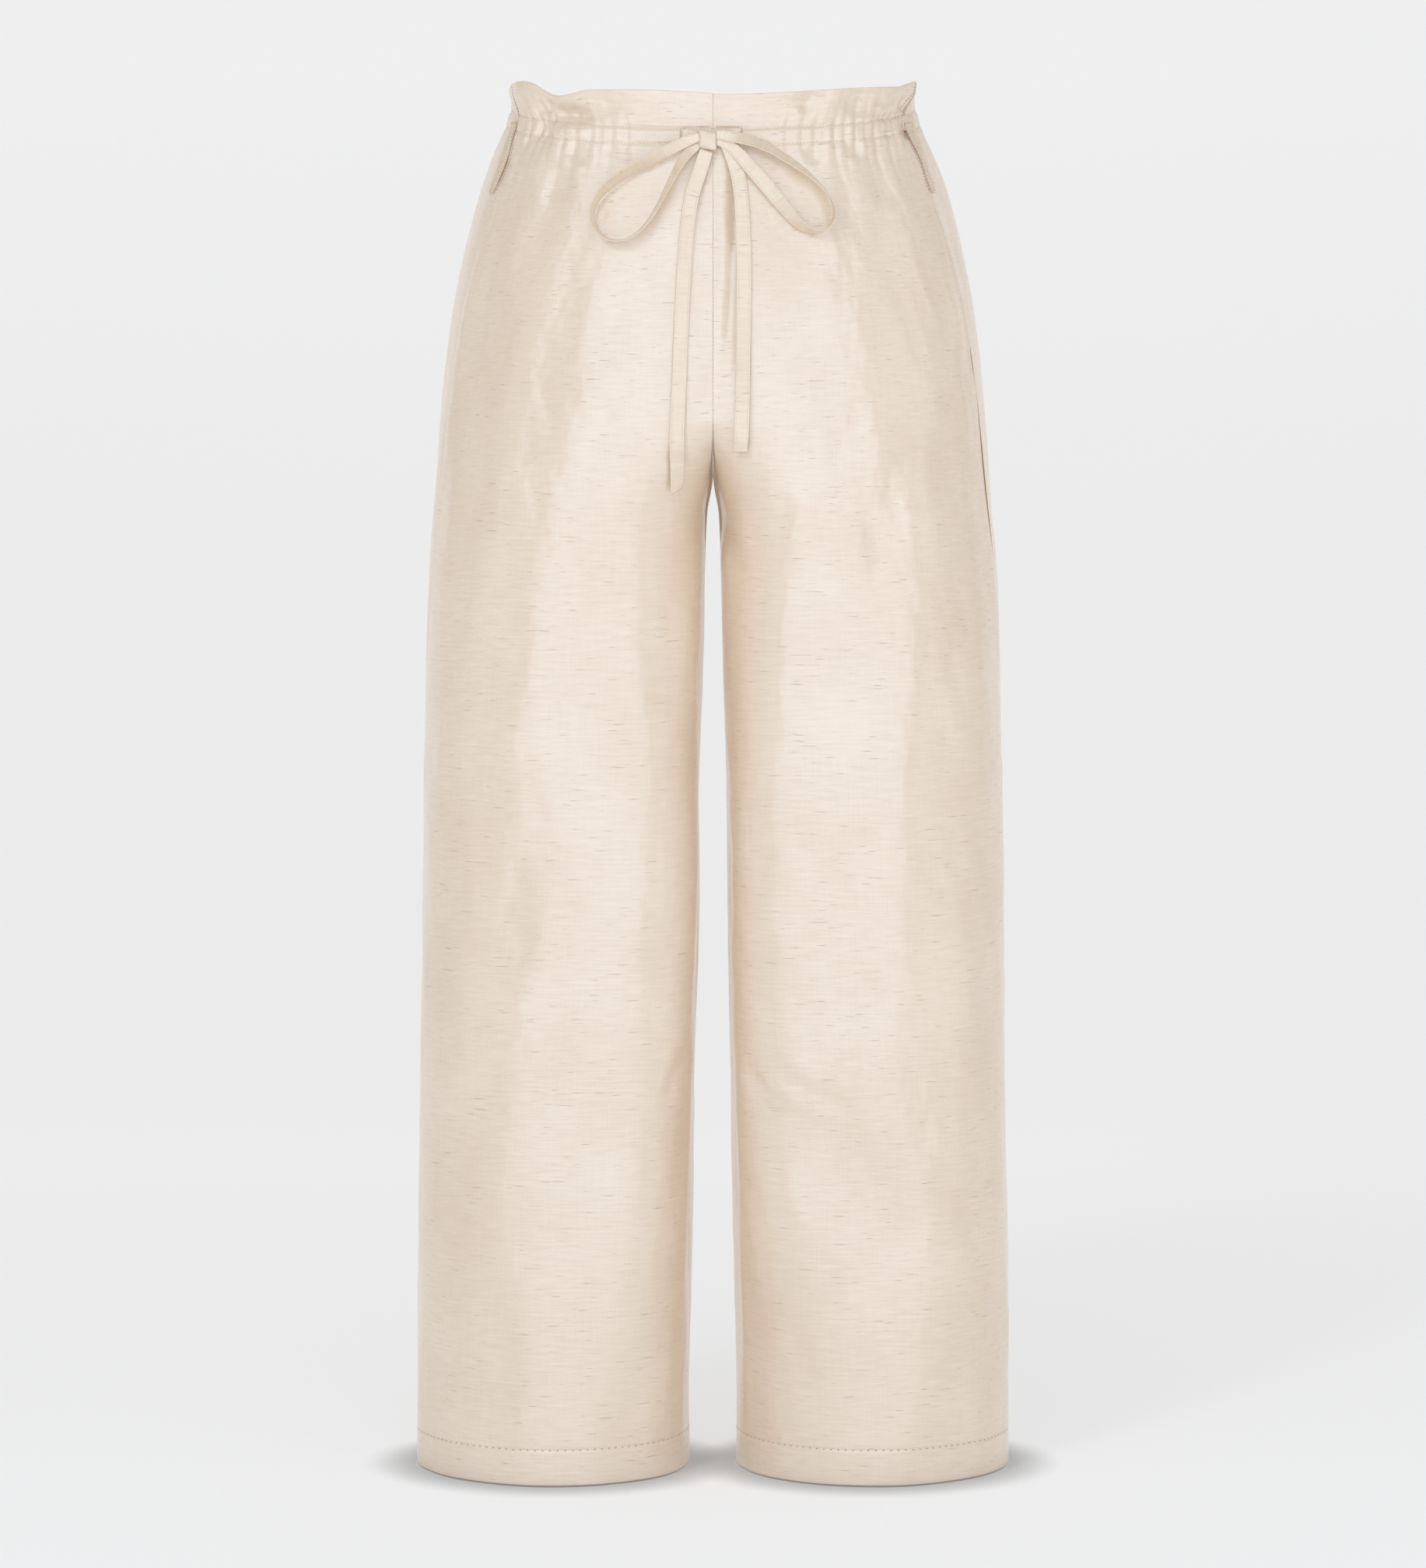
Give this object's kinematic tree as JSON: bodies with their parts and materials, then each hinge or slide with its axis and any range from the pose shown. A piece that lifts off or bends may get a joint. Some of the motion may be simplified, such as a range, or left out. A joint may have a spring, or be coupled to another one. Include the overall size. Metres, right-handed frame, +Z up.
{
  "type": "wide-leg drawstring trousers",
  "caption": "Wide-leg trousers filled out as worn: hollow silk wall with a gathered paper-bag waist, side vents, a tied drawstring bow and open turned-up hems.",
  "frame": {"origin": "middle of the waist, level with the drawstring casing at the sides, where the wearer's waist holds the garment", "axes": "+Z up, the front faces -Y, +X towards the viewer's right, which is the wearer's left"},
  "size_m": [0.4426, 0.2644, 1.0244],
  "materials": {
    "slub_silk": "champagne plain-weave slub silk with a crisp hand and a soft sheen",
    "vent_silk": "the same silk, folded into a narrow strip",
    "tape_silk": "the same silk, folded flat and edge-stitched into a tape",
    "sewing_thread": "matched sewing thread"
  },
  "bodies": {
    "root": {"front_right": "slub_silk", "front_left": "slub_silk", "back_right": "slub_silk", "back_left": "slub_silk", "vent_strip_right": "vent_silk", "vent_strip_left": "vent_silk", "tie_vent_right": "tape_silk", "tie_vent_left": "tape_silk", "tie_knot": "tape_silk", "tie_lead_right": "tape_silk", "tie_lead_left": "tape_silk", "tie_loop_right": "tape_silk", "tie_loop_left": "tape_silk", "tie_tail_right": "tape_silk", "tie_tail_left": "tape_silk"}
  },
  "joints": []
}
